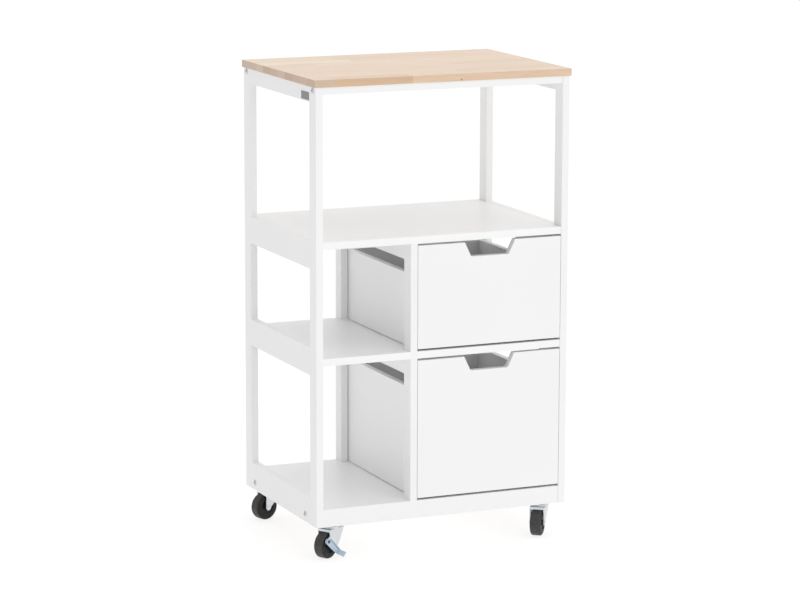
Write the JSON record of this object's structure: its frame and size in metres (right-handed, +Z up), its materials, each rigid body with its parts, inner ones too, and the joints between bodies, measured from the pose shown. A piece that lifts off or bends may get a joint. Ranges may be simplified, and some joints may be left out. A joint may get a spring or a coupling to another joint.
{
  "type": "kitchen trolley",
  "caption": "Wheeled kitchen trolley with a butcher-block top, white panel frame, open shelves, deep drawers and swivel casters.",
  "frame": {"origin": "floor level under the middle of the frame", "axes": "+Z up, -Y is the front with the drawers, +X to the right"},
  "size_m": [0.57, 0.4183, 0.989],
  "materials": {
    "wood": "oiled butcher block of finger-jointed staves running along X",
    "painted_panel": "white paint on MDF, satin",
    "painted_shelf": "white paint on MDF, satin",
    "raw_wood": "bare wood, hidden",
    "zinc_bolt": "bright zinc",
    "blank_plate": "blank grey plate, satin",
    "zinc_plate": "stamped steel, bright zinc",
    "brake_steel": "stamped steel, blue zinc",
    "hub_plastic": "black plastic",
    "tyre": "black hard rubber",
    "drawer_front": "white paint on MDF, satin",
    "drawer_box": "white melamine",
    "drawer_bottom": "white-faced hardboard",
    "nylon": "white nylon"
  },
  "bodies": {
    "frame": {"butcher_block_top": "wood", "left_side_frame": "painted_panel", "right_side_frame": "painted_panel", "centre_divider": "painted_panel", "front_top_strip": "painted_panel", "back_top_strip": "painted_panel", "front_bottom_rail": "painted_panel", "back_bottom_rail": "painted_panel", "upper_shelf": "painted_shelf", "left_middle_shelf": "painted_shelf", "right_middle_shelf": "painted_shelf", "bottom_shelf": "painted_shelf", "left_caster_batten": "raw_wood", "right_caster_batten": "raw_wood", "frame_dowels": "raw_wood", "side_bolts_left": "zinc_bolt", "side_bolts_right": "zinc_bolt", "top_board_screws": "zinc_bolt", "caster_plate_screws": "zinc_bolt", "blank_plate": "blank_plate", "caster_plates": "zinc_plate", "caster_kingpins": "zinc_plate"},
    "drawer_upper": {"drawer_upper_front": "drawer_front", "drawer_upper_left_side": "drawer_box", "drawer_upper_right_side": "drawer_box", "drawer_upper_back": "drawer_box", "drawer_upper_bottom": "drawer_bottom", "drawer_upper_glides": "nylon", "drawer_upper_dowels": "raw_wood"},
    "drawer_lower": {"drawer_lower_front": "drawer_front", "drawer_lower_left_side": "drawer_box", "drawer_lower_right_side": "drawer_box", "drawer_lower_back": "drawer_box", "drawer_lower_bottom": "drawer_bottom", "drawer_lower_glides": "nylon", "drawer_lower_dowels": "raw_wood"},
    "caster_front_left": {"fork_front_left": "zinc_plate", "axle_front_left": "zinc_plate", "brake_pin": "zinc_plate"},
    "wheel_front_left": {"hub_front_left": "hub_plastic", "tyre_front_left": "tyre"},
    "caster_front_right": {"fork_front_right": "zinc_plate", "axle_front_right": "zinc_plate"},
    "wheel_front_right": {"hub_front_right": "hub_plastic", "tyre_front_right": "tyre"},
    "caster_back_left": {"fork_back_left": "zinc_plate", "axle_back_left": "zinc_plate"},
    "wheel_back_left": {"hub_back_left": "hub_plastic", "tyre_back_left": "tyre"},
    "caster_back_right": {"fork_back_right": "zinc_plate", "axle_back_right": "zinc_plate"},
    "wheel_back_right": {"hub_back_right": "hub_plastic", "tyre_back_right": "tyre"},
    "brake": {"brake_lever": "brake_steel"}
  },
  "joints": [
    {"name": "drawer_upper_slide", "type": "slide", "parent": "frame", "child": "drawer_upper", "axis": [0, -1, 0], "range_m": [0, 0.25]},
    {"name": "drawer_lower_slide", "type": "slide", "parent": "frame", "child": "drawer_lower", "axis": [0, -1, 0], "range_m": [0, 0.25]},
    {"name": "caster_front_left_swivel", "type": "hinge", "parent": "frame", "child": "caster_front_left", "pos_m": [-0.238, -0.172, 0.07], "axis": [0, 0, 1], "continuous": true},
    {"name": "wheel_front_left_spin", "type": "hinge", "parent": "caster_front_left", "child": "wheel_front_left", "pos_m": [-0.25343, -0.18127, 0.028], "axis": [0.515, -0.8572, 0], "continuous": true},
    {"name": "brake_lever_lift", "type": "hinge", "parent": "caster_front_left", "child": "brake", "pos_m": [-0.265, -0.18822, 0.0395], "axis": [0.515, -0.8572, 0], "range_deg": [0, 25]},
    {"name": "caster_front_right_swivel", "type": "hinge", "parent": "frame", "child": "caster_front_right", "pos_m": [0.238, -0.172, 0.07], "axis": [0, 0, 1], "continuous": true},
    {"name": "wheel_front_right_spin", "type": "hinge", "parent": "caster_front_right", "child": "wheel_front_right", "pos_m": [0.22679, -0.18609, 0.028], "axis": [0.7826, -0.6225, 0], "continuous": true},
    {"name": "caster_back_left_swivel", "type": "hinge", "parent": "frame", "child": "caster_back_left", "pos_m": [-0.238, 0.172, 0.07], "axis": [0, 0, 1], "continuous": true},
    {"name": "wheel_back_left_spin", "type": "hinge", "parent": "caster_back_left", "child": "wheel_back_left", "pos_m": [-0.25512, 0.16644, 0.028], "axis": [0.309, -0.9511, 0], "continuous": true},
    {"name": "caster_back_right_swivel", "type": "hinge", "parent": "frame", "child": "caster_back_right", "pos_m": [0.238, 0.172, 0.07], "axis": [0, 0, 1], "continuous": true},
    {"name": "wheel_back_right_spin", "type": "hinge", "parent": "caster_back_right", "child": "wheel_back_right", "pos_m": [0.22462, 0.15996, 0.028], "axis": [0.6691, -0.7431, 0], "continuous": true}
  ]
}
